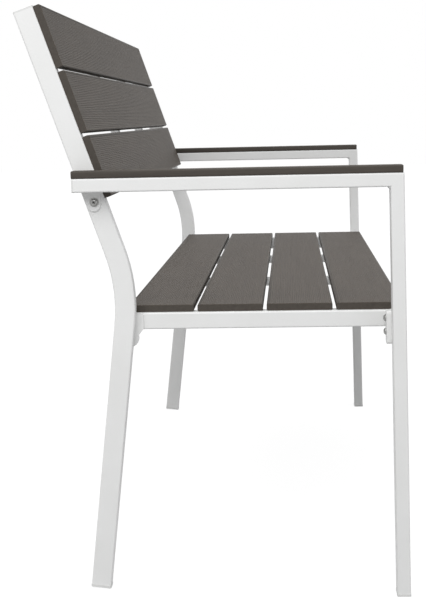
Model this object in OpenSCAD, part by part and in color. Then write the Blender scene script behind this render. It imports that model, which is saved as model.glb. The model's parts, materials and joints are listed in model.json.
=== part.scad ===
// Two-seat garden bench: a white tube frame that bolts together, with composite slats.
// X runs along the bench, the sitter faces -Y, Z is up. Sizes are in millimetres.
// "Left" is the end at -X, as seen by someone who stands in front of the bench.

/* [Overall] */
// Length over the two side frames
bench_length = 1240; // [1000:10:1600]
// Height of the top of the seat slats
seat_height = 436; // [420:1:450]
// Height of the top of the armrest slats
arm_height = 641; // [620:1:660]

/* [Side frame] */
// Wide side of the frame tube
tube_wide = 30; // [26:1:34]
// Narrow side of the frame tube
tube_thin = 20; // [18:1:24]
// Wall of every tube
wall = 1.6; // [1.2:0.1:2]
// Outer corner radius of every tube
corner_r = 2.4; // [2:0.1:3]
// Forward lean of the front leg's foot, in degrees
leg_lean = 0.9; // [0:0.1:2]
// Length of the armrest tube from the leg's front face
arm_length = 477; // [440:1:500]
// Backward rake of the upright's foot, in degrees
foot_rake = 6.9; // [4:0.1:10]
// Recline of the backrest, in degrees
recline = 18.9; // [14:0.1:24]
// Bend radius on the upright's centre line
bend_r = 250; // [180:10:320]
// Distance of the upright's knee behind the front foot
knee_y = 414; // [404:1:424]
// Height of the upright's knee
knee_z = 467; // [455:1:480]
// Length of the upright above its knee, with its cap
upright_reach = 430; // [425:1:450]

/* [Seat] */
// Seat slats, from front to back
seat_slats = 4; // [4:1:4]
// Width of a seat slat
seat_slat_w = 98.5; // [94:0.5:99]
// Gap between seat slats
seat_gap = 5.5; // [4:0.5:6]
// Distance from the bench's end to the seat slats' end
seat_inset = 60; // [58:1:70]
// Side of the square seat rail tube
rail_side = 25; // [22:1:28]
// Side of the square cross support tube
support_side = 15; // [14:1:18]

/* [Backrest] */
// Backrest slats, from top to bottom
back_slats = 3; // [3:1:3]
// Width of a backrest slat
back_slat_w = 94.5; // [90:0.5:96]
// Gap between backrest slats
back_gap = 5; // [4:0.5:7]
// Length of backrest below the lowest slat, up from the knee
back_start = 135; // [132:1:138]

/* [Slats] */
// Thickness of every slat
slat_t = 11; // [10:0.5:13]
// Edge radius of every slat
slat_r = 2.5; // [1:0.5:3]
// Distance of the cross supports and battens from the middle
support_x = 172.5; // [150:0.5:200]

/* [Hidden] */
$fn = 48;

white = "#f1f1ef";
slat_grey = "#6a655f";
cap_white = "#dededc";
steel = "#a9a9a6";

// Side frame
outer_x = -bench_length / 2;
inner_x = outer_x + tube_wide;
leg_x = outer_x + tube_wide / 2;
upright_x = inner_x + tube_thin / 2;
arm_top = arm_height - slat_t;
arm_under = arm_top - tube_thin;
arm_front = arm_top * tan(leg_lean);
mitre = (90 + leg_lean) / 2;
cap_t = 2.5;
foot_t = 4;
foot_proud = 0.4;

// Upright: the tangent points and the centre of its bend
tangent = bend_r * tan((foot_rake + recline) / 2);
low_y = knee_y + tangent * sin(foot_rake);
low_z = knee_z - tangent * cos(foot_rake);
bend_cy = low_y + bend_r * cos(foot_rake);
bend_cz = low_z + bend_r * sin(foot_rake);
foot_drop = (tube_wide / 2 + foot_proud) * sin(foot_rake);
lower_len = (low_z - foot_drop) / cos(foot_rake);
upper_len = upright_reach - tangent;
// The bend laps its straight neighbours by this angle and is this much thicker on each side
lap_angle = 0.1;
lap = 0.05;

// The bench's depth, from the front feet to the back of the upright caps
back_y = knee_y + upright_reach * sin(recline) + tube_wide / 2 * cos(recline);
front_y = -foot_proud / cos(leg_lean);
mid_y = (front_y + back_y) / 2;

// Seat frame
rail_top = seat_height - slat_t;
plate_t = 3;
rail_outer = inner_x + tube_thin + plate_t;
rail_x = rail_outer + rail_side / 2;
rail_mid_z = rail_top - rail_side / 2;
bracket_depth = 7;
bracket_z = rail_top - 47;
bracket_top = rail_top + 2;
bracket_w = rail_outer - inner_x;
bracket_x = inner_x + bracket_w / 2;
lug_t = 4;
lug_depth = 14;
rail_front = rail_top * tan(leg_lean) + tube_thin + bracket_depth;
rail_start = rail_front - bracket_depth;
rail_rear = 413;
front_rail_y = rail_front + 1;
rear_rail_y = rail_rear - rail_side - 2;
seat_front = 7;
rear_bolt = [420, 388];
front_bolt_z = [rail_top - 29.5, rail_top - 9.5];

// Backrest and armrest
back_end_x = inner_x + 2;
arm_bolt = [1, 135];
batten_start = back_start + 10;
batten_len = 274;
arm_slat_front = arm_front + 1.5;
arm_slat_len = 476;

// Fasteners
bolt_r = 3;
nut_r = 4.5;
nut_len = 12;
screw_r = 1.9;
screw_hole_r = 2.2;
screw_bite = 7;
screw_head_r = 3.8;
screw_head_h = 2.4;
access_r = 4.6;

// ---- Frames of reference ----

module bench() {
    translate([0, -mid_y, 0]) children();
}

module left() {
    bench() children();
}

module right() {
    mirror([1, 0, 0]) bench() children();
}

module both() {
    left() children();
    right() children();
}

// Local Y is square to the front leg's faces, local Z runs up the leg
module leg_frame() {
    rotate([-leg_lean, 0, 0]) children();
}

// Local Z runs up the reclined part of the upright, local Y points out of its back
module back_frame() {
    translate([0, knee_y, knee_z]) rotate([-recline, 0, 0]) children();
}

// The local XY plane becomes the bench's side view: local X is Y, local Y is Z
module side_view() {
    rotate([90, 0, 90]) children();
}

module along_y(length) {
    rotate([-90, 0, 0]) linear_extrude(length) children();
}

module along_x(length) {
    side_view() linear_extrude(length) children();
}

// ---- Sections ----

module rounded_rect(w, h, r) {
    square([w - 2 * r, h], center = true);
    square([w, h - 2 * r], center = true);
    for (x = [-1, 1], y = [-1, 1]) {
        translate([x * (w / 2 - r), y * (h / 2 - r)]) circle(r);
    }
}

module tube_section(w, h) {
    difference() {
        rounded_rect(w, h, corner_r);
        rounded_rect(w - 2 * wall, h - 2 * wall, corner_r - wall);
    }
}

// ---- Fasteners ----

// Each slat screw sits inside its tube, on the wall that touches the slat. In the three modules
// below, the origin is on that wall's outer face and +Z points into the slat.
module slat_screw() {
    translate([0, 0, -wall]) {
        cylinder(r = screw_r, h = wall + screw_bite);
        difference() {
            translate([0, 0, -screw_head_h])
                cylinder(r1 = screw_head_r - 1, r2 = screw_head_r, h = screw_head_h);
            translate([0, 0, -screw_head_h]) cube([4, 0.9, 2.4], center = true);
            translate([0, 0, -screw_head_h]) cube([0.9, 4, 2.4], center = true);
        }
    }
}

module slat_bore() {
    translate([0, 0, -1]) cylinder(r = screw_r, h = screw_bite + 1);
}

// The screw's hole in the near wall, and the wide hole in the far wall that lets its head in
module tube_bores(depth) {
    translate([0, 0, -wall - 1]) cylinder(r = screw_hole_r, h = wall + 2);
    translate([0, 0, -depth - 1]) cylinder(r = access_r, h = wall + 2);
}

// Button-head bolt with a hexagon socket: seat at the origin, shank up +Z
module button_bolt(length) {
    cylinder(r = bolt_r, h = length);
    difference() {
        translate([0, 0, -3.6]) cylinder(r1 = 3.6, r2 = 5.2, h = 3.6);
        translate([0, 0, -3.7]) cylinder(r = 2.3, h = 2.4, $fn = 6);
    }
}

// Pan-head bolt with a cross recess: seat at the origin, shank up +Z
module pan_bolt(length) {
    cylinder(r = bolt_r, h = length);
    difference() {
        translate([0, 0, -4]) cylinder(r1 = 4.2, r2 = 5.6, h = 4);
        translate([0, 0, -4]) cube([6, 1.3, 4], center = true);
        translate([0, 0, -4]) cube([1.3, 6, 4], center = true);
    }
}

// Threaded insert that sits flush in a tube's wall: mouth at the origin, body down -Z
module rivet_nut() {
    translate([0, 0, -nut_len]) difference() {
        cylinder(r = nut_r, h = nut_len);
        translate([0, 0, -1]) cylinder(r = bolt_r, h = nut_len + 2);
    }
}

// Plug for a tube's end: the tube's end is at the origin and the flange grows up +Z
module tube_plug(w, h, flange, stem, proud = 0) {
    linear_extrude(flange) rounded_rect(w + 2 * proud, h + 2 * proud, corner_r);
    translate([0, 0, -stem])
        linear_extrude(stem) rounded_rect(w - 2 * wall, h - 2 * wall, corner_r - wall);
}

// ---- Side frame ----

// Half space on the upper or lower side of the corner where the leg meets the armrest
module mitre_cut(upper) {
    translate([leg_x, arm_front, arm_top]) rotate([-mitre, 0, 0])
        translate([-50, -100, upper ? 0 : -200]) cube([100, 300, 200]);
}

module arm_screw_places() {
    for (y = [60, 250, 440]) translate([leg_x, y, arm_top]) children();
}

module arm_tube() {
    color(white) difference() {
        translate([leg_x, arm_front, arm_top - tube_thin / 2])
            along_y(arm_length - cap_t) tube_section(tube_wide, tube_thin);
        mitre_cut(false);
        arm_screw_places() tube_bores(tube_thin);
    }
}

module front_leg() {
    color(white) difference() {
        leg_frame() translate([leg_x, tube_thin / 2, foot_t])
            linear_extrude(arm_height - foot_t) tube_section(tube_wide, tube_thin);
        mitre_cut(true);
    }
}

// The lug's rear face at each front bolt, with local +Z out of the face
module front_bolt_places() {
    leg_frame() for (z = front_bolt_z) {
        translate([bracket_x, tube_thin, z]) rotate([-90, 0, 0]) children();
    }
}

// Angle that is welded to the leg's inner face: it holds the rivet nuts of the seat's front bolts
module leg_lug() {
    color(white) difference() {
        leg_frame() translate([0, 0, bracket_z]) linear_extrude(bracket_top - bracket_z) {
            translate([inner_x, tube_thin - lug_depth]) square([lug_t, lug_depth]);
            translate([inner_x, tube_thin - lug_t]) square([bracket_w, lug_t]);
        }
        front_bolt_places() translate([0, 0, -lug_t - 1]) cylinder(r = nut_r, h = lug_t + 2);
    }
}

// The upright's path, swept by a section that grows by the given amount in the bend
module bent_bar(w, h, r, grow) {
    translate([upright_x, low_y, low_z]) side_view() rotate(foot_rake - 90)
        rotate([0, 90, 0]) linear_extrude(lower_len - foot_t) rounded_rect(w, h, r);
    translate([upright_x, bend_cy, bend_cz]) side_view() rotate(180 - recline - lap_angle)
        rotate_extrude(angle = recline + foot_rake + 2 * lap_angle, $fn = 180)
            translate([bend_r, 0]) rounded_rect(h + 2 * grow, w + 2 * grow, r + grow);
    translate([upright_x, 0, 0]) back_frame() translate([0, 0, tangent])
        linear_extrude(upper_len - cap_t) rounded_rect(w, h, r);
}

module rear_upright() {
    color(white) difference() {
        bent_bar(tube_thin, tube_wide, corner_r, lap);
        bent_bar(tube_thin - 2 * wall, tube_wide - 2 * wall, corner_r - wall, -lap);
        rear_foot_place() bore_mouth();
        upright_top_place() bore_mouth();
        back_screw_places(upright_x) tube_bores(tube_wide);
        arm_bolt_place() translate([0, 0, -3]) cylinder(r = nut_r, h = 6);
        rear_bolt_place() translate([0, 0, -3]) cylinder(r = nut_r, h = 6);
    }
}

// Opens the upright's bore at a cut end
module bore_mouth() {
    translate([0, 0, -3]) linear_extrude(6)
        rounded_rect(tube_thin - 2 * wall, tube_wide - 2 * wall, corner_r - wall);
}

// End of the upright at its foot, with local +Z out of the tube
module rear_foot_place() {
    translate([upright_x, low_y, low_z]) rotate([180 + foot_rake, 0, 0])
        translate([0, 0, lower_len - foot_t]) children();
}

// Top end of the upright, with local +Z out of the tube
module upright_top_place() {
    translate([upright_x, 0, 0]) back_frame() translate([0, 0, upright_reach - cap_t]) children();
}

// The upright's outer face at the armrest bolt, with local +Z out of the face
module arm_bolt_place() {
    back_frame() translate([inner_x, arm_bolt[0], arm_bolt[1]]) rotate([0, -90, 0]) children();
}

// The upright's inner face at the seat bolt, with local +Z out of the face
module rear_bolt_place() {
    translate([inner_x + tube_thin, rear_bolt[0], rear_bolt[1]]) rotate([0, 90, 0]) children();
}

module arm_bracket() {
    lobe_r = 10;
    lobe = [459.6, 591];
    // Point where the plate's sloping rear edge touches the lobe
    touch = lobe + lobe_r * [cos(recline), -sin(recline)];
    rear_top = touch[0] + (arm_under - touch[1]) * tan(recline);
    color(white) difference() {
        translate([inner_x - plate_t, 0, 0]) along_x(plate_t) {
            translate(lobe) circle(lobe_r);
            polygon([
                [lobe[0] - lobe_r, arm_under], [lobe[0] - lobe_r, lobe[1]], lobe,
                touch, [rear_top, arm_under]
            ]);
        }
        arm_bolt_place() translate([0, 0, -1]) cylinder(r = bolt_r + 0.2, h = plate_t + 2);
    }
}

module arm_end_cap() {
    color(cap_white)
        translate([leg_x, arm_front + arm_length - cap_t, arm_top - tube_thin / 2])
            rotate([-90, 0, 0]) tube_plug(tube_wide, tube_thin, cap_t, 12);
}

module upright_cap() {
    color(cap_white) upright_top_place() tube_plug(tube_thin, tube_wide, cap_t, 14);
}

// The front foot is cut level so that it stands flat on the ground
module front_foot() {
    color(cap_white) difference() {
        leg_frame() translate([leg_x, tube_thin / 2, foot_t]) rotate([180, 0, 0])
            tube_plug(tube_wide, tube_thin, foot_t + 1, 20, foot_proud);
        translate([leg_x - 50, -50, -20]) cube([100, 100, 20]);
    }
}

module rear_foot() {
    color(cap_white) rear_foot_place() tube_plug(tube_thin, tube_wide, foot_t, 20, foot_proud);
}

// ---- Seat frame ----

function seat_slat_y(i) = seat_front + seat_slat_w / 2 + i * (seat_slat_w + seat_gap);

// The slat screws in one half of the seat: each is [x, y, height of its tube]
end_screws = [for (i = [0:seat_slats - 1], s = [-28, 28])
    [rail_x, max(seat_slat_y(i) + s, rail_front + 12), rail_side]];
long_screws = [for (y = [front_rail_y, rear_rail_y]) [-support_x, y + rail_side / 2, rail_side]];
cross_screws = [for (s = end_screws)
    if (s[1] > front_rail_y + rail_side + 6 && s[1] < rear_rail_y - 6) [-support_x, s[1], support_side]];
seat_screws = concat(end_screws, long_screws, cross_screws);

module seat_tube_bores(screws) {
    for (s = screws) translate([s[0], s[1], rail_top]) tube_bores(s[2]);
}

module end_rail() {
    color(white) difference() {
        translate([rail_x, rail_start, rail_mid_z])
            along_y(rail_rear - rail_start) tube_section(rail_side, rail_side);
        seat_tube_bores(end_screws);
    }
}

module long_rail(y) {
    reach = -rail_x - rail_side / 2;
    color(white) difference() {
        bench() translate([-reach, y + rail_side / 2, rail_mid_z])
            along_x(2 * reach) tube_section(rail_side, rail_side);
        both() seat_tube_bores(long_screws);
    }
}

module seat_support() {
    back = rear_rail_y;
    front = front_rail_y + rail_side;
    color(white) difference() {
        translate([-support_x, front, rail_top - support_side / 2])
            along_y(back - front) tube_section(support_side, support_side);
        seat_tube_bores(cross_screws);
    }
}

// Pressed pan that is welded to the side of the rail's front end and bolted to the leg's lug
module front_bracket() {
    h = bracket_top - bracket_z;
    color(white) difference() {
        leg_frame() translate([bracket_x, tube_thin, bracket_z + h / 2]) difference() {
            along_y(bracket_depth) rounded_rect(bracket_w, h, 3.5);
            translate([0, -1, 0]) along_y(bracket_depth - plate_t + 1)
                rounded_rect(bracket_w - 2 * plate_t, h - 2 * plate_t, 1.5);
        }
        front_bolt_places() cylinder(r = bolt_r + 0.2, h = bracket_depth + 2);
    }
}

// Hanging plate between the rail and the upright
module rear_bracket() {
    lobe_r = 14.5;
    lobe = [416, 388];
    color(white) difference() {
        translate([inner_x + tube_thin, 0, 0]) along_x(plate_t) {
            translate(lobe) circle(lobe_r);
            polygon([
                [394.5, rail_top - 0.5], [394.5, rail_top - rail_side + 1],
                lobe + lobe_r * [-cos(15), sin(15)], lobe, lobe + [lobe_r, 0],
                [lobe[0] + lobe_r, rail_top - 0.5]
            ]);
        }
        rear_bolt_place() translate([0, 0, -1]) cylinder(r = bolt_r + 0.2, h = plate_t + 2);
    }
}

module rail_caps() {
    translate([rail_x, rail_rear, rail_mid_z]) rotate([-90, 0, 0])
        tube_plug(rail_side, rail_side, cap_t, 10);
    translate([rail_x, rail_start, rail_mid_z]) rotate([90, 0, 0])
        tube_plug(rail_side, rail_side, cap_t, 10);
}

// ---- Slats ----

module seat_slat(i) {
    half = bench_length / 2 - seat_inset;
    color(slat_grey) bench() difference() {
        translate([-half, seat_slat_y(i), seat_height - slat_t / 2])
            along_x(2 * half) rounded_rect(seat_slat_w, slat_t, slat_r);
        for (s = seat_screws, side = [-1, 1]) {
            if (abs(s[1] - seat_slat_y(i)) < seat_slat_w / 2)
                translate([side * s[0], s[1], rail_top]) slat_bore();
        }
    }
}

// Height of each backrest screw above the knee, from the top slat down
back_screw_s = [for (i = [0:back_slats - 1], s = [1, -1])
    back_start + (back_slats - 1 - i) * (back_slat_w + back_gap) + back_slat_w / 2 + s * 24];

// The screws in one upright or batten, with local +Z into the slats
module back_screw_places(x, rows = back_screw_s) {
    back_frame() for (s = rows) translate([x, -tube_wide / 2, s]) rotate([90, 0, 0]) children();
}

module back_slat(i) {
    middle = back_start + (back_slats - 1 - i) * (back_slat_w + back_gap) + back_slat_w / 2;
    rows = [back_screw_s[2 * i], back_screw_s[2 * i + 1]];
    color(slat_grey) bench() difference() {
        back_frame() translate([back_end_x, -(tube_wide + slat_t) / 2, middle])
            along_x(-2 * back_end_x) rounded_rect(slat_t, back_slat_w, slat_r);
        for (x = [upright_x, -support_x, support_x, -upright_x]) back_screw_places(x, rows) slat_bore();
    }
}

module back_batten() {
    color(white) difference() {
        back_frame() translate([-support_x, -tube_wide / 2 + support_side / 2, batten_start])
            linear_extrude(batten_len) tube_section(support_side, support_side);
        back_screw_places(-support_x) tube_bores(support_side);
    }
}

module batten_plugs() {
    back_frame() translate([-support_x, -tube_wide / 2 + support_side / 2, batten_start]) {
        translate([0, 0, batten_len]) tube_plug(support_side, support_side, cap_t, 10);
        rotate([180, 0, 0]) tube_plug(support_side, support_side, cap_t, 10);
    }
}

module arm_slat() {
    color(slat_grey) difference() {
        translate([leg_x, arm_slat_front, arm_height - slat_t / 2])
            along_y(arm_slat_len) rounded_rect(tube_wide, slat_t, slat_r);
        arm_screw_places() slat_bore();
    }
}

// ---- Fastener groups ----

module arm_bolt_set() {
    color(steel) both() arm_bolt_place() translate([0, 0, plate_t + 1.2]) rotate([180, 0, 0]) pan_bolt(18);
}

module arm_washer_set() {
    color(steel) both() arm_bolt_place() translate([0, 0, plate_t]) difference() {
        cylinder(r = 6.8, h = 1.2);
        translate([0, 0, -1]) cylinder(r = bolt_r + 0.2, h = 4);
    }
}

module front_bolt_set() {
    color(steel) both() front_bolt_places() translate([0, 0, bracket_depth]) rotate([180, 0, 0])
        button_bolt(bracket_depth + nut_len - 1);
}

module rear_bolt_set() {
    color(steel) both() rear_bolt_place() translate([0, 0, plate_t]) rotate([180, 0, 0])
        button_bolt(plate_t + nut_len - 1);
}

module seat_slat_screw_set() {
    color(steel) both() for (s = seat_screws) translate([s[0], s[1], rail_top]) slat_screw();
}

module back_slat_screw_set() {
    color(steel) both() for (x = [upright_x, -support_x]) back_screw_places(x) slat_screw();
}

module arm_slat_screw_set() {
    color(steel) both() arm_screw_places() slat_screw();
}

left() arm_tube();  // left_arm_tube
right() arm_tube();  // right_arm_tube
left() front_leg();  // left_front_leg
right() front_leg();  // right_front_leg
left() rear_upright();  // left_rear_upright
right() rear_upright();  // right_rear_upright
left() arm_bracket();  // left_arm_bracket
right() arm_bracket();  // right_arm_bracket
arm_bolt_set();  // arm_bolts
arm_washer_set();  // arm_washers
left() arm_end_cap();  // left_arm_end_cap
right() arm_end_cap();  // right_arm_end_cap
left() upright_cap();  // left_upright_cap
right() upright_cap();  // right_upright_cap
left() front_foot();  // left_front_foot
right() front_foot();  // right_front_foot
left() rear_foot();  // left_rear_foot
right() rear_foot();  // right_rear_foot
left() end_rail();  // left_end_rail
right() end_rail();  // right_end_rail
long_rail(front_rail_y);  // seat_front_rail
long_rail(rear_rail_y);  // seat_rear_rail
left() seat_support();  // left_seat_support
right() seat_support();  // right_seat_support
left() front_bracket();  // left_front_bracket
right() front_bracket();  // right_front_bracket
left() rear_bracket();  // left_rear_bracket
right() rear_bracket();  // right_rear_bracket
left() leg_lug();  // left_leg_lug
right() leg_lug();  // right_leg_lug
front_bolt_set();  // front_bolts
rear_bolt_set();  // rear_bolts
color(cap_white) both() rail_caps();  // rail_end_caps
color(steel) both() front_bolt_places() rivet_nut();  // front_rivet_nuts
color(steel) both() rear_bolt_place() rivet_nut();  // rear_rivet_nuts
color(steel) both() arm_bolt_place() rivet_nut();  // arm_rivet_nuts
seat_slat(0);  // seat_slat_1
seat_slat(1);  // seat_slat_2
seat_slat(2);  // seat_slat_3
seat_slat(3);  // seat_slat_4
back_slat(0);  // back_slat_1
back_slat(1);  // back_slat_2
back_slat(2);  // back_slat_3
left() back_batten();  // left_back_batten
right() back_batten();  // right_back_batten
color(cap_white) both() batten_plugs();  // batten_caps
left() arm_slat();  // left_arm_slat
right() arm_slat();  // right_arm_slat
seat_slat_screw_set();  // seat_slat_screws
back_slat_screw_set();  // back_slat_screws
arm_slat_screw_set();  // arm_slat_screws
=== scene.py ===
"""Garden bench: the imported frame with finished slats, bolts, welds and materials."""
import json
import math

import bmesh
import bpy
from mathutils import Matrix, Vector, noise


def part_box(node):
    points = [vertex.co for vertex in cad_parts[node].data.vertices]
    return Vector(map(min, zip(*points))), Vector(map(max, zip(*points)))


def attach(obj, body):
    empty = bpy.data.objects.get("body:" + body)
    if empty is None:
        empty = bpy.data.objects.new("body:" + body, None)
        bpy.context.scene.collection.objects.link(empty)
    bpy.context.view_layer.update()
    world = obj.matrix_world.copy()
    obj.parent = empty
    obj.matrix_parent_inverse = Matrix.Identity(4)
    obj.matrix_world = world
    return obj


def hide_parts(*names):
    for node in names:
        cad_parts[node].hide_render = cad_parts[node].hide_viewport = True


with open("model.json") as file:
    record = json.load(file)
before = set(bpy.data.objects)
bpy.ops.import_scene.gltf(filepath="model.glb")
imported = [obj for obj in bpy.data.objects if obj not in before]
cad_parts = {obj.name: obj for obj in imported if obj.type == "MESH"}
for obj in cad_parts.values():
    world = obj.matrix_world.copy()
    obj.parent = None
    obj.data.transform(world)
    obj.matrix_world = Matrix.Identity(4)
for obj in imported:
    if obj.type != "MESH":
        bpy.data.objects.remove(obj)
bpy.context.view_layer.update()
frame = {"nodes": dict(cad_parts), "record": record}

MM = 0.001
WHITE_SLOT = "white_powder_coat"
SLAT_SLOT = "slat_composite"
STEEL_SLOT = "zinc_steel"


# ---- Camera and stage ----

CAMERA_PLACE = Vector((-2.372, -0.111, 0.713))
CAMERA_YAW = math.radians(3.70)
CAMERA_DIP = math.radians(8.48)
CAMERA_ROLL = math.radians(-1.32)
SENSOR_HEIGHT = 36.0
LENS = 73.4
AMBIENT = 0.54
OVERHEAD = 0.60
FRONT_FILL = 0.48
KEY = 53.0
KEY_SIZE = 2.0
KEY_PLACE = (-2.6, 0.58, 2.5)
SUN_SPREAD = math.radians(80)
FLOOR_HALF = 15
FLOOR_DROP = 0.2 * MM
FLOOR_GLOW = 1.12
FLOOR_GLOW_SHARE = 0.8


def add_camera():
    ahead = Vector((
        math.cos(CAMERA_YAW) * math.cos(CAMERA_DIP),
        math.sin(CAMERA_YAW) * math.cos(CAMERA_DIP),
        -math.sin(CAMERA_DIP),
    ))
    level_right = ahead.cross(Vector((0, 0, 1))).normalized()
    level_up = level_right.cross(ahead)
    right = math.cos(CAMERA_ROLL) * level_right + math.sin(CAMERA_ROLL) * level_up
    up = math.cos(CAMERA_ROLL) * level_up - math.sin(CAMERA_ROLL) * level_right
    data = bpy.data.cameras.new("camera")
    data.sensor_fit = "VERTICAL"
    data.sensor_height = SENSOR_HEIGHT
    data.lens = LENS
    data.clip_end = 60
    camera = bpy.data.objects.new("camera", data)
    camera.matrix_world = Matrix.Translation(CAMERA_PLACE) @ Matrix((right, up, -ahead)).transposed().to_4x4()
    bpy.context.scene.collection.objects.link(camera)
    bpy.context.scene.camera = camera


def add_light(data, place, towards):
    light = bpy.data.objects.new(data.name, data)
    turn = (Vector(towards) - Vector(place)).to_track_quat("-Z", "Y")
    light.matrix_world = Matrix.Translation(place) @ turn.to_matrix().to_4x4()
    bpy.context.scene.collection.objects.link(light)


def background(nodes, color, strength):
    node = nodes.new("ShaderNodeBackground")
    node.inputs["Color"].default_value = (*color, 1)
    node.inputs["Strength"].default_value = strength
    return node.outputs["Background"]


def shown_or_lighting(nodes, links, shown, lighting, surface):
    """The backdrop looks white, also in reflections, while the light it casts is dimmer."""
    path = nodes.new("ShaderNodeLightPath")
    result = lighting
    for ray in ("Is Glossy Ray", "Is Camera Ray"):
        mix = nodes.new("ShaderNodeMixShader")
        links.new(path.outputs[ray], mix.inputs["Fac"])
        links.new(result, mix.inputs[1])
        links.new(shown, mix.inputs[2])
        result = mix.outputs["Shader"]
    links.new(result, surface)


def add_lights():
    world = bpy.data.worlds.new("studio")
    world.use_nodes = True
    nodes, links = world.node_tree.nodes, world.node_tree.links
    shown = background(nodes, (1, 1, 1), 1.0)
    lighting = background(nodes, (0.98, 0.99, 1), AMBIENT)
    shown_or_lighting(nodes, links, shown, lighting, nodes["World Output"].inputs["Surface"])
    bpy.context.scene.world = world
    bpy.context.scene.view_settings.view_transform = "Standard"

    for name, strength, place in (("overhead", OVERHEAD, (0, 0, 3)), ("front_fill", FRONT_FILL, (-1, -3, 1))):
        sun = bpy.data.lights.new(name, "SUN")
        sun.energy = strength
        sun.angle = SUN_SPREAD
        add_light(sun, place, (0.1, 0, 0))
    key = bpy.data.lights.new("key", "AREA")
    key.energy = KEY
    key.size = KEY_SIZE
    add_light(key, KEY_PLACE, (0, 0, 0.5))


def add_floor():
    half = FLOOR_HALF
    corners = ((-half, -half), (half, -half), (half, half), (-half, half))
    floor = mesh_object("floor", [(x, y, -FLOOR_DROP) for x, y in corners], [(0, 1, 2, 3)])
    floor.data.materials.append(floor_material())


# ---- Materials ----

def new_material(name):
    material = bpy.data.materials.new(name)
    material.use_nodes = True
    return material, material.node_tree.nodes, material.node_tree.links


def shader_of(nodes, roughness, specular=0.5):
    shader = nodes["Principled BSDF"]
    shader.inputs["Roughness"].default_value = roughness
    shader.inputs["Specular IOR Level"].default_value = specular
    return shader


def object_noise(nodes, links, stretch, scale, detail=4.0, rough=0.55):
    """Noise in the object's own metres: a stretch below 1 draws it out along that axis."""
    place = nodes.new("ShaderNodeTexCoord")
    mapping = nodes.new("ShaderNodeMapping")
    mapping.inputs["Scale"].default_value = stretch
    texture = nodes.new("ShaderNodeTexNoise")
    texture.inputs["Scale"].default_value = scale
    texture.inputs["Detail"].default_value = detail
    texture.inputs["Roughness"].default_value = rough
    links.new(place.outputs["Object"], mapping.inputs["Vector"])
    links.new(mapping.outputs["Vector"], texture.inputs["Vector"])
    return texture.outputs["Fac"]


def ramp(nodes, links, source, low, high, low_at=0.3, high_at=0.7):
    node = nodes.new("ShaderNodeValToRGB")
    node.color_ramp.elements[0].position = low_at
    node.color_ramp.elements[0].color = (*low, 1)
    node.color_ramp.elements[1].position = high_at
    node.color_ramp.elements[1].color = (*high, 1)
    links.new(source, node.inputs["Fac"])
    return node.outputs["Color"]


def level(nodes, links, source, low, high):
    node = nodes.new("ShaderNodeMapRange")
    node.inputs["To Min"].default_value = low
    node.inputs["To Max"].default_value = high
    links.new(source, node.inputs["Value"])
    return node.outputs["Result"]


def mix_colors(nodes, links, blend, amount, first, second):
    node = nodes.new("ShaderNodeMix")
    node.data_type = "RGBA"
    node.blend_type = blend
    node.inputs["Factor"].default_value = amount
    links.new(first, node.inputs["A"])
    links.new(second, node.inputs["B"])
    return node.outputs["Result"]


def bump(nodes, links, shader, source, distance, strength=1.0):
    node = nodes.new("ShaderNodeBump")
    node.inputs["Distance"].default_value = distance
    node.inputs["Strength"].default_value = strength
    links.new(source, node.inputs["Height"])
    links.new(node.outputs["Normal"], shader.inputs["Normal"])


def floor_material():
    """White to the camera with a faint trace of the bench's shadow, grey as a source of light."""
    material, nodes, links = new_material("floor")
    matte = shader_of(nodes, 0.9, 0.0)
    shade = object_noise(nodes, links, (1, 1, 1), 3.0)
    links.new(ramp(nodes, links, shade, (0.37, 0.37, 0.37), (0.39, 0.39, 0.39)), matte.inputs["Base Color"])
    pale = nodes.new("ShaderNodeBsdfDiffuse")
    pale.inputs["Color"].default_value = (0.96, 0.96, 0.96, 1)
    glow = nodes.new("ShaderNodeEmission")
    glow.inputs["Strength"].default_value = FLOOR_GLOW
    mix = nodes.new("ShaderNodeMixShader")
    mix.inputs["Fac"].default_value = FLOOR_GLOW_SHARE
    links.new(pale.outputs["BSDF"], mix.inputs[1])
    links.new(glow.outputs["Emission"], mix.inputs[2])
    surface = nodes["Material Output"].inputs["Surface"]
    shown_or_lighting(nodes, links, mix.outputs["Shader"], matte.outputs["BSDF"], surface)
    return material


def powder_coat_material():
    """Satin white powder coat: faint cloudiness in the colour and fine orange peel."""
    material, nodes, links = new_material("powder_coat")
    shader = shader_of(nodes, 0.42, 0.45)
    cloud = object_noise(nodes, links, (1, 1, 1), 9.0, 3.0)
    tone = ramp(nodes, links, cloud, (0.775, 0.775, 0.765), (0.815, 0.815, 0.81))
    links.new(tone, shader.inputs["Base Color"])
    peel = object_noise(nodes, links, (1, 1, 1), 620.0, 2.0, 0.5)
    links.new(level(nodes, links, peel, 0.36, 0.50), shader.inputs["Roughness"])
    bump(nodes, links, shader, peel, 0.00012)
    return material


def slat_material(name, dark, light, fibre_depth):
    """Brushed composite: long streaks and short fibres along the slat's own X axis."""
    material, nodes, links = new_material(name)
    shader = shader_of(nodes, 0.6, 0.22)
    streaks = object_noise(nodes, links, (0.02, 1, 1), 240.0, 5.0, 0.6)
    fibres = object_noise(nodes, links, (0.06, 1, 1), 1500.0, 3.0, 0.6)
    patches = object_noise(nodes, links, (0.35, 1, 1), 16.0, 3.0)
    tone = ramp(nodes, links, streaks, dark, light, 0.3, 0.7)
    flecks = ramp(nodes, links, fibres, (0.88, 0.88, 0.88), (1.08, 1.07, 1.06), 0.36, 0.64)
    cloud = ramp(nodes, links, patches, (0.93, 0.93, 0.93), (1.06, 1.06, 1.05))
    tinted = mix_colors(nodes, links, "MULTIPLY", 1.0, tone, flecks)
    links.new(mix_colors(nodes, links, "MULTIPLY", 1.0, tinted, cloud), shader.inputs["Base Color"])
    links.new(level(nodes, links, fibres, 0.46, 0.66), shader.inputs["Roughness"])
    bump(nodes, links, shader, fibres, fibre_depth)
    return material


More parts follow.
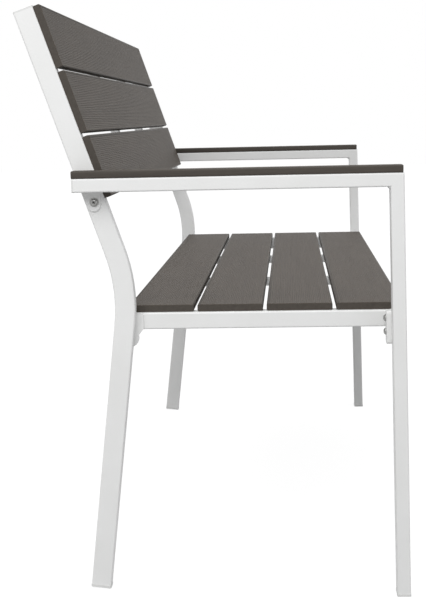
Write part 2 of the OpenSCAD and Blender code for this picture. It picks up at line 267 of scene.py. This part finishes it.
def plastic_material():
    material, nodes, links = new_material("cap_plastic")
    shader = shader_of(nodes, 0.5, 0.5)
    cloud = object_noise(nodes, links, (1, 1, 1), 40.0, 3.0)
    links.new(ramp(nodes, links, cloud, (0.69, 0.69, 0.68), (0.73, 0.73, 0.72)), shader.inputs["Base Color"])
    grain = object_noise(nodes, links, (1, 1, 1), 1800.0, 2.0)
    links.new(level(nodes, links, grain, 0.45, 0.6), shader.inputs["Roughness"])
    bump(nodes, links, shader, grain, 0.00005)
    return material


def steel_material(name, dark, light):
    """Zinc plate: faintly mottled."""
    material, nodes, links = new_material(name)
    shader = shader_of(nodes, 0.34)
    shader.inputs["Metallic"].default_value = 1.0
    mottle = object_noise(nodes, links, (1, 1, 1), 420.0, 5.0)
    links.new(ramp(nodes, links, mottle, dark, light), shader.inputs["Base Color"])
    links.new(level(nodes, links, mottle, 0.22, 0.46), shader.inputs["Roughness"])
    bump(nodes, links, shader, mottle, 0.00004)
    return material


# ---- Mesh helpers ----

def mesh_object(name, points, faces):
    mesh = bpy.data.meshes.new(name)
    mesh.from_pydata(points, [], faces)
    mesh.update()
    piece = bpy.data.objects.new(name, mesh)
    bpy.context.scene.collection.objects.link(piece)
    return piece


def finish_piece(piece, slot, materials, *replaced):
    for material in materials:
        piece.data.materials.append(material)
    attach(piece, "root")
    if replaced:
        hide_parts(*replaced)


# ---- Slats ----

EDGE_RADIUS = 2.5 * MM
EDGE_STEPS = 5
RIB_PITCH = 2.9 * MM
RIB_DEPTH = 0.4 * MM
RIB_MARGIN = 3.4 * MM
# Across one groove: place in rib pitches from its middle, depth in rib depths
GROOVE = ((0.20, 0.0), (0.10, 1.0), (-0.10, 1.0), (-0.20, 0.0))
END_ROUNDING = ((0.9, 0.0), (0.5, 0.12), (0.2, 0.42), (0.0, 0.9))


def rib_points(half_width, top):
    """Outline of the ribbed face from +Y to -Y: rounded ribs with a narrow groove between two."""
    span = 2 * (half_width - RIB_MARGIN)
    count = round(span / RIB_PITCH)
    pitch = span / count
    points = []
    for i in range(count):
        groove = half_width - RIB_MARGIN - (i + 0.5) * pitch
        for offset, depth in GROOVE:
            points.append((groove + offset * pitch, top - depth * RIB_DEPTH))
    return points


def slat_outline(width, thickness, inset):
    """Closed outline in the slat's YZ plane, drawn in by the inset, ribbed on top."""
    radius = EDGE_RADIUS - inset
    centre_y = width / 2 - EDGE_RADIUS
    centre_z = thickness / 2 - EDGE_RADIUS
    points = rib_points(width / 2, thickness / 2 - inset)
    for sign_y, sign_z, start in ((-1, 1, 90), (-1, -1, 180), (1, -1, 270), (1, 1, 0)):
        for step in range(EDGE_STEPS + 1):
            angle = math.radians(start + 90 * step / EDGE_STEPS)
            points.append((sign_y * centre_y + radius * math.cos(angle),
                           sign_z * centre_z + radius * math.sin(angle)))
    return points


def slat_piece(name, length, width, thickness, place):
    """A ribbed board with eased ends. Its own X runs along it and its own Z points out of its face."""
    half = length / 2
    rings = [(-half + back * MM, inset * MM) for inset, back in END_ROUNDING]
    rings += [(-x, inset) for x, inset in reversed(rings)]
    points = []
    for x, inset in rings:
        points += [(x, y, z) for y, z in slat_outline(width, thickness, inset)]
    count = len(points) // len(rings)
    faces = [tuple(range(count))]
    for ring in range(len(rings) - 1):
        low, high = ring * count, (ring + 1) * count
        for i in range(count):
            j = (i + 1) % count
            faces.append((low + j, low + i, high + i, high + j))
    faces.append(tuple(reversed(range(len(points) - count, len(points)))))
    piece = mesh_object(name, points, faces)
    piece.matrix_world = place
    grooves = 4 * round(2 * (width / 2 - RIB_MARGIN) / RIB_PITCH)
    corner = EDGE_STEPS + 1
    for polygon in piece.data.polygons:
        strip = (polygon.index - 1) % count
        is_end = polygon.index in (0, len(faces) - 1)
        in_groove = strip < grooves and strip % 4 < 3
        on_edge = grooves <= strip < grooves + 2 * corner - 1 or strip >= grooves + 2 * corner
        polygon.use_smooth = not is_end and strip >= grooves
        # Grooves, long sides with their rounded edges and the cut ends take the second, darker material:
        # painted shade, and on the cut ends partly their own darker cut face
        polygon.material_index = 1 if is_end or in_groove or on_edge else 0
    return piece


def axes_matrix(x_axis, y_axis, z_axis, centre):
    return Matrix.Translation(centre) @ Matrix((x_axis, y_axis, z_axis)).transposed().to_4x4()


def add_slats(materials):
    across, up = Vector((1, 0, 0)), Vector((0, 0, 1))
    thickness = 0
    for i in range(1, 5):
        name = f"seat_slat_{i}"
        low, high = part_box(name)
        size = high - low
        thickness = size.z
        piece = slat_piece(name + "_board", size.x, size.y, thickness, Matrix.Translation((low + high) / 2))
        finish_piece(piece, SLAT_SLOT, materials, name)
    for side in ("left", "right"):
        name = side + "_arm_slat"
        low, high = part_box(name)
        size = high - low
        place = axes_matrix(Vector((0, 1, 0)), Vector((-1, 0, 0)), up, (low + high) / 2)
        piece = slat_piece(name + "_board", size.y, size.x, size.z, place)
        finish_piece(piece, SLAT_SLOT, materials, name)

    boxes = [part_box(f"back_slat_{i}") for i in (1, 2, 3)]
    centres = [(low + high) / 2 for low, high in boxes]
    climb = (centres[0] - centres[2]).normalized()
    for i, (low, high) in enumerate(boxes):
        size = high - low
        straight = size.z - 2 * EDGE_RADIUS - (thickness - 2 * EDGE_RADIUS) * climb.y
        width = straight / climb.z + 2 * EDGE_RADIUS
        place = axes_matrix(across, climb, across.cross(climb), centres[i])
        piece = slat_piece(f"back_slat_{i + 1}_board", size.x, width, thickness, place)
        finish_piece(piece, SLAT_SLOT, materials, f"back_slat_{i + 1}")


# ---- Fasteners ----

LEG_LEAN = math.radians(0.9)
BOLT_RADIUS = 3.0 * MM
BOLT_SIDES = 40
ARM_BOLT_SHANK = 18 * MM
FRONT_BOLT_SHANK = 21 * MM
REAR_BOLT_SHANK = 14 * MM
# Recesses, in millimetres: radius of the hexagon, reach and half width of the cross, and depths
HEXAGON_RADIUS = 2.3
HEXAGON_DEPTH = 2.2
CROSS_REACH = 2.7
CROSS_HALF_WIDTH = 0.62
CROSS_DEPTH = 2.4
# Outlines of the two heads as radius and height above the seat, in millimetres
PAN_HEAD = ((5.3, 0), (5.6, 0.4), (5.55, 1.5), (5.1, 2.6), (4.2, 3.4), (3.0, 3.85), (1.6, 4.0))
BUTTON_HEAD = ((5.0, 0), (5.2, 0.3), (5.1, 1.0), (4.6, 2.0), (3.8, 2.9), (2.8, 3.5), (1.8, 3.6))


def ring_of(radius, height):
    angles = [2 * math.pi * i / BOLT_SIDES for i in range(BOLT_SIDES)]
    return [(radius * math.cos(angle), radius * math.sin(angle), height) for angle in angles]


def lathe(name, outline):
    """A closed solid of rings stacked along Z, with a flat face at each end."""
    sides = BOLT_SIDES
    points = []
    for radius, height in outline:
        points += ring_of(radius, height)
    last = len(outline) - 1
    faces = [tuple(reversed(range(sides))), tuple(range(last * sides, (last + 1) * sides))]
    for ring in range(last):
        for i in range(sides):
            j = (i + 1) % sides
            faces.append((ring * sides + i, ring * sides + j, (ring + 1) * sides + j, (ring + 1) * sides + i))
    return mesh_object(name, points, faces)


def prism(name, outline, low, high):
    count = len(outline)
    points = [(x, y, low) for x, y in outline] + [(x, y, high) for x, y in outline]
    faces = [tuple(reversed(range(count))), tuple(range(count, 2 * count))]
    for i in range(count):
        j = (i + 1) % count
        faces.append((i, j, count + j, count + i))
    return mesh_object(name, points, faces)


def cut(piece, cutter):
    modifier = piece.modifiers.new("recess", "BOOLEAN")
    modifier.operation = "DIFFERENCE"
    modifier.solver = "EXACT"
    modifier.object = cutter
    shape = piece.evaluated_get(bpy.context.evaluated_depsgraph_get())
    piece.data = bpy.data.meshes.new_from_object(shape)
    piece.modifiers.clear()
    bpy.data.objects.remove(cutter)


def cross_outline(reach, half_width):
    r, w = reach, half_width
    arm = [(r, -w), (r, w), (w, w)]
    points = []
    for _ in range(4):
        points += arm
        arm = [(-y, x) for x, y in arm]
    return points


def bolt(name, head, recess, recess_depth, shank):
    """A bolt whose head's seat is at the origin, with the head up +Z."""
    outline = [(BOLT_RADIUS - 0.5 * MM, -shank), (BOLT_RADIUS, 0.5 * MM - shank), (BOLT_RADIUS, 0)]
    outline += [(radius * MM, height * MM) for radius, height in head]
    piece = lathe(name, outline)
    top = head[-1][1] * MM
    cut(piece, prism("recess", [(x * MM, y * MM) for x, y in recess], top - recess_depth * MM, top + 1 * MM))
    piece.data.shade_smooth()
    piece.data.set_sharp_from_angle(angle=math.radians(35))
    # The recess takes the second, darker material: painted shade in the recess
    for polygon in piece.data.polygons:
        x, y, z = polygon.center
        if math.hypot(x, y) < BOLT_RADIUS and 0 < z < top - 0.2 * MM:
            polygon.material_index = 1
    return piece


def gather(name, prototype, places):
    """One piece made of a copy of the prototype at each place."""
    shape = bmesh.new()
    for place in places:
        part = prototype.data.copy()
        part.transform(place)
        shape.from_mesh(part)
        bpy.data.meshes.remove(part)
    mesh = bpy.data.meshes.new(name)
    shape.to_mesh(mesh)
    shape.free()
    bpy.data.objects.remove(prototype)
    piece = bpy.data.objects.new(name, mesh)
    bpy.context.scene.collection.objects.link(piece)
    return piece


def aimed(place, direction, turn_degrees=0):
    """The local +Z axis points along the direction, after a turn about itself."""
    aim = Vector(direction).to_track_quat("Z", "Y").to_matrix().to_4x4()
    return Matrix.Translation(place) @ aim @ Matrix.Rotation(math.radians(turn_degrees), 4, "Z")


def middle(node):
    low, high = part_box(node)
    return (low + high) / 2


def add_bolts(steels):
    angles = [math.radians(60 * i) for i in range(6)]
    hexagon = [(HEXAGON_RADIUS * math.cos(angle), HEXAGON_RADIUS * math.sin(angle)) for angle in angles]
    cross = cross_outline(CROSS_REACH, CROSS_HALF_WIDTH)

    centre = middle("arm_washers")
    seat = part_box("arm_washers")[1].x
    places = [aimed((side * seat, centre.y, centre.z), (side, 0, 0), turn)
              for side, turn in ((-1, 24), (1, 50))]
    pan = bolt("pan_bolt", PAN_HEAD, cross, CROSS_DEPTH, ARM_BOLT_SHANK)
    finish_piece(gather("arm_bolt_set", pan, places), STEEL_SLOT, steels, "arm_bolts")

    low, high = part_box("front_bolts")
    head_radius, head_height = BUTTON_HEAD[1][0] * MM, BUTTON_HEAD[-1][1] * MM
    out = (0, math.cos(LEG_LEAN), -math.sin(LEG_LEAN))
    x, top, bottom = high.x - head_radius, high.z - head_radius, low.z + head_radius
    seat = high.y - head_height
    places = []
    for side in (-1, 1):
        for z, turn in ((top, 10), (bottom, 38)):
            places.append(aimed((side * x, seat - (top - z) * math.tan(LEG_LEAN), z), out, turn + 7 * side))
    button = bolt("button_bolt", BUTTON_HEAD, hexagon, HEXAGON_DEPTH, FRONT_BOLT_SHANK)
    finish_piece(gather("front_bolt_set", button, places), STEEL_SLOT, steels, "front_bolts")

    centre = middle("rear_bolts")
    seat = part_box("right_rear_bracket")[0].x
    places = [aimed((side * seat, centre.y, centre.z), (-side, 0, 0), turn)
              for side, turn in ((-1, 15), (1, 40))]
    button = bolt("button_bolt", BUTTON_HEAD, hexagon, HEXAGON_DEPTH, REAR_BOLT_SHANK)
    finish_piece(gather("rear_bolt_set", button, places), STEEL_SLOT, steels, "rear_bolts")


# ---- Welds ----

BEAD_STEP = 0.6 * MM
BEAD_RIPPLE = 2.6 * MM
BEAD_SIDES = 10


def add_bead(shape, start, end, radius):
    """A rippled bead: a tube whose radius swells with each puddle and tapers at its ends."""
    start, end = Vector(start), Vector(end)
    run = end - start
    steps = max(4, round(run.length / BEAD_STEP))
    along = run.normalized()
    side = along.orthogonal().normalized()
    other = along.cross(side)
    rings = []
    for i in range(steps + 1):
        place = start + run * (i / steps)
        travelled = run.length * i / steps
        puddle = abs(math.sin(math.pi * travelled / BEAD_RIPPLE))
        taper = math.sqrt(min(1, (0.4 * radius + min(travelled, run.length - travelled)) / (1.6 * radius)))
        wander = 0.12 * noise.noise(place * 400)
        size = radius * taper * (0.84 + 0.16 * puddle + wander)
        ring = []
        for k in range(BEAD_SIDES):
            angle = 2 * math.pi * k / BEAD_SIDES
            ring.append(shape.verts.new(place + size * (math.cos(angle) * side + math.sin(angle) * other)))
        rings.append(ring)
    for first, second in zip(rings, rings[1:]):
        for k in range(BEAD_SIDES):
            j = (k + 1) % BEAD_SIDES
            shape.faces.new((first[k], first[j], second[j], second[k]))
    shape.faces.new(list(reversed(rings[0])))
    shape.faces.new(rings[-1])


def left_weld_runs():
    """Start, end and radius of every weld in the left half of the bench."""
    leg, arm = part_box("left_front_leg"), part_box("left_arm_tube")
    tab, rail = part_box("left_arm_bracket"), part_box("left_end_rail")
    plate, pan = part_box("left_rear_bracket"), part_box("left_front_bracket")
    front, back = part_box("seat_front_rail"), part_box("seat_rear_rail")
    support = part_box("left_seat_support")
    low, high = rail[0].z + 2 * MM, rail[1].z - 2 * MM
    runs = [
        ((arm[0].x + 2 * MM, leg[1].y, arm[0].z), (arm[1].x - 2 * MM, leg[1].y, arm[0].z), 3.2 * MM),
        ((tab[0].x, tab[0].y + 1.5 * MM, arm[0].z), (tab[0].x, tab[1].y - 2 * MM, arm[0].z), 1.1 * MM),
        ((rail[0].x, pan[1].y, low), (rail[0].x, pan[1].y, high), 1.2 * MM),
        ((rail[0].x, plate[0].y, low), (rail[0].x, plate[0].y, high), 1.1 * MM),
        ((rail[0].x, plate[0].y + 3 * MM, rail[0].z), (rail[0].x, rail[1].y - 3 * MM, rail[0].z), 1.1 * MM),
    ]
    for y in (front[0].y, front[1].y, back[0].y, back[1].y):
        runs.append(((rail[1].x, y, low), (rail[1].x, y, high), 1.3 * MM))
    for x in (support[0].x, support[1].x):
        for y in (front[1].y, back[0].y):
            runs.append(((x, y, support[0].z + 2 * MM), (x, y, high), 1.2 * MM))
    return runs


def add_welds(coat):
    for side, name in ((1, "left_weld_beads"), (-1, "right_weld_beads")):
        shape = bmesh.new()
        for start, end, radius in left_weld_runs():
            add_bead(shape, (side * start[0], start[1], start[2]), (side * end[0], end[1], end[2]), radius)
        mesh = bpy.data.meshes.new(name)
        shape.to_mesh(mesh)
        shape.free()
        mesh.shade_smooth()
        piece = bpy.data.objects.new(name, mesh)
        bpy.context.scene.collection.objects.link(piece)
        finish_piece(piece, WHITE_SLOT, (coat,))


# ---- Finish ----

def paint_cad_nodes(materials):
    slots = {part["node"]: part["material_slot"] for part in frame["record"]["subparts"]}
    for name, node in frame["nodes"].items():
        material = materials[slots[name]]
        if not node.data.materials:
            node.data.materials.append(material)
        for slot in node.material_slots:
            slot.material = material


add_camera()
add_lights()
add_floor()
finishes = {
    WHITE_SLOT: powder_coat_material(),
    SLAT_SLOT: slat_material("slat_face", (0.069, 0.055, 0.043), (0.087, 0.071, 0.056), 0.00018),
    "cap_plastic": plastic_material(),
    STEEL_SLOT: steel_material("zinc_steel", (0.20, 0.20, 0.195), (0.36, 0.36, 0.35)),
}
# Near-black steel for the bolt recesses: painted shade
recess_painted_shade_steel = steel_material("recess_painted_shade_steel", (0.02, 0.02, 0.02), (0.05, 0.05, 0.048))
# Darker second slat material: painted shade in the grooves and on the sides and edges, and partly the darker
# tone of the cut ends
slat_painted_shade_and_cut_ends = slat_material("slat_painted_shade_and_cut_ends", (0.056, 0.048, 0.041), (0.070, 0.061, 0.052), 0.00006)
paint_cad_nodes(finishes)
add_slats((finishes[SLAT_SLOT], slat_painted_shade_and_cut_ends))
add_bolts((finishes[STEEL_SLOT], recess_painted_shade_steel))
add_welds(finishes[WHITE_SLOT])
